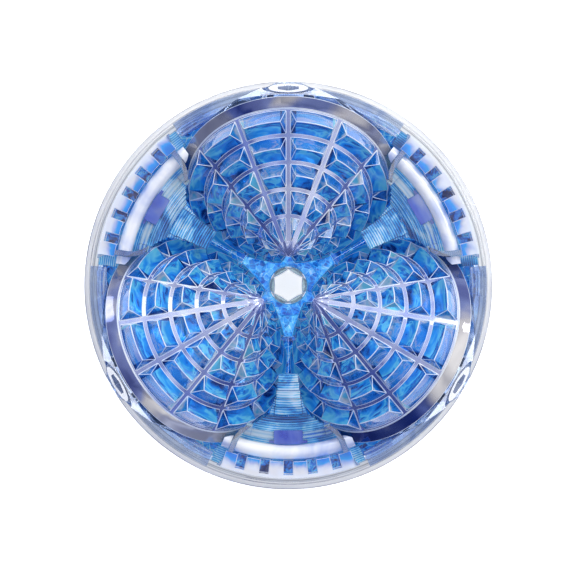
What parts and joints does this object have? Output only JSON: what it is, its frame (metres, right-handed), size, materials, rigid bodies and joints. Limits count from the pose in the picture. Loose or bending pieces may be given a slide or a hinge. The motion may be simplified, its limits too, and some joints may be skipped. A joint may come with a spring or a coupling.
{
  "type": "maze ball puzzle",
  "caption": "Clear ball-shaped puzzle, open in front, with studded cone wheels that turn on tilted axles round a see-through centre hole.",
  "frame": {"origin": "centre of the flat foot that the ball rests on, which is the bottom centre of its box", "axes": "+Z is the ball's threefold axis, from the foot up through the open front; wheel 1 points along +Y, wheels 2 and 3 follow at 120 degree steps anticlockwise seen from +Z"},
  "size_m": [0.1, 0.1, 0.0718],
  "materials": {
    "clear_shell": "clear moulded plastic, polished",
    "clear_ring": "colourless clear plastic, polished",
    "deep_blue": "clear plastic tinted deep blue, polished",
    "hub_blue": "clear plastic tinted sky blue, polished",
    "clear_rod": "clear plastic with a faint green tint",
    "ring_blue": "clear plastic tinted light blue, polished",
    "pale_clear": "nearly colourless clear plastic, polished",
    "violet_blue": "clear plastic tinted violet blue, polished",
    "clear_pin": "clear hard plastic, turned and polished",
    "wheel_blue": "clear plastic tinted blue, sharp moulded facets, polished",
    "rim_grey": "smoky clear plastic, polished",
    "plate_blue": "clear plastic tinted blue",
    "bearing_clear": "clear slippery plastic",
    "screw_clear": "clear hard plastic screw, polished"
  },
  "bodies": {
    "base": {"rear_shell": "clear_shell", "equator_ring": "clear_ring", "bowl_1": "deep_blue", "bowl_2": "deep_blue", "bowl_3": "deep_blue", "bearer_1": "deep_blue", "bearer_2": "deep_blue", "bearer_3": "deep_blue", "screw_block_1": "ring_blue", "screw_block_2": "ring_blue", "screw_block_3": "ring_blue", "core_hub": "hub_blue", "hub_ring": "hub_blue", "hub_rods": "clear_rod", "deck_1": "ring_blue", "deck_2": "ring_blue", "deck_3": "ring_blue", "comb_1": "ring_blue", "comb_2": "ring_blue", "comb_3": "ring_blue", "rails_1": "pale_clear", "rails_2": "pale_clear", "rails_3": "pale_clear", "lip_1": "pale_clear", "lip_2": "pale_clear", "lip_3": "pale_clear", "key_1": "violet_blue", "key_2": "violet_blue", "key_3": "violet_blue", "fences_1": "pale_clear", "fences_2": "pale_clear", "fences_3": "pale_clear", "tongue_1": "hub_blue", "tongue_2": "hub_blue", "tongue_3": "hub_blue", "shoulder_1": "pale_clear", "shoulder_2": "pale_clear", "shoulder_3": "pale_clear", "axle_1": "clear_pin", "axle_2": "clear_pin", "axle_3": "clear_pin", "shoulder_screws": "screw_clear", "axle_clips": "clear_pin", "thrust_washers": "bearing_clear", "axle_screws": "clear_pin"},
    "wheel_1": {"cone_skin_1": "wheel_blue", "cone_rim_1": "rim_grey", "cone_plate_1": "plate_blue", "cone_bush_1": "bearing_clear"},
    "wheel_2": {"cone_skin_2": "wheel_blue", "cone_rim_2": "rim_grey", "cone_plate_2": "plate_blue", "cone_bush_2": "bearing_clear"},
    "wheel_3": {"cone_skin_3": "wheel_blue", "cone_rim_3": "rim_grey", "cone_plate_3": "plate_blue", "cone_bush_3": "bearing_clear"}
  },
  "joints": [
    {"name": "wheel_1_spin", "type": "hinge", "parent": "base", "child": "wheel_1", "pos_m": [0, 0.0066, 0.0675], "axis": [0, 0.7431, -0.6691], "continuous": true},
    {"name": "wheel_2_spin", "type": "hinge", "parent": "base", "child": "wheel_2", "pos_m": [-0.00572, -0.0033, 0.0675], "axis": [-0.6436, -0.3716, -0.6691], "continuous": true},
    {"name": "wheel_3_spin", "type": "hinge", "parent": "base", "child": "wheel_3", "pos_m": [0.00572, -0.0033, 0.0675], "axis": [0.6436, -0.3716, -0.6691], "continuous": true}
  ]
}
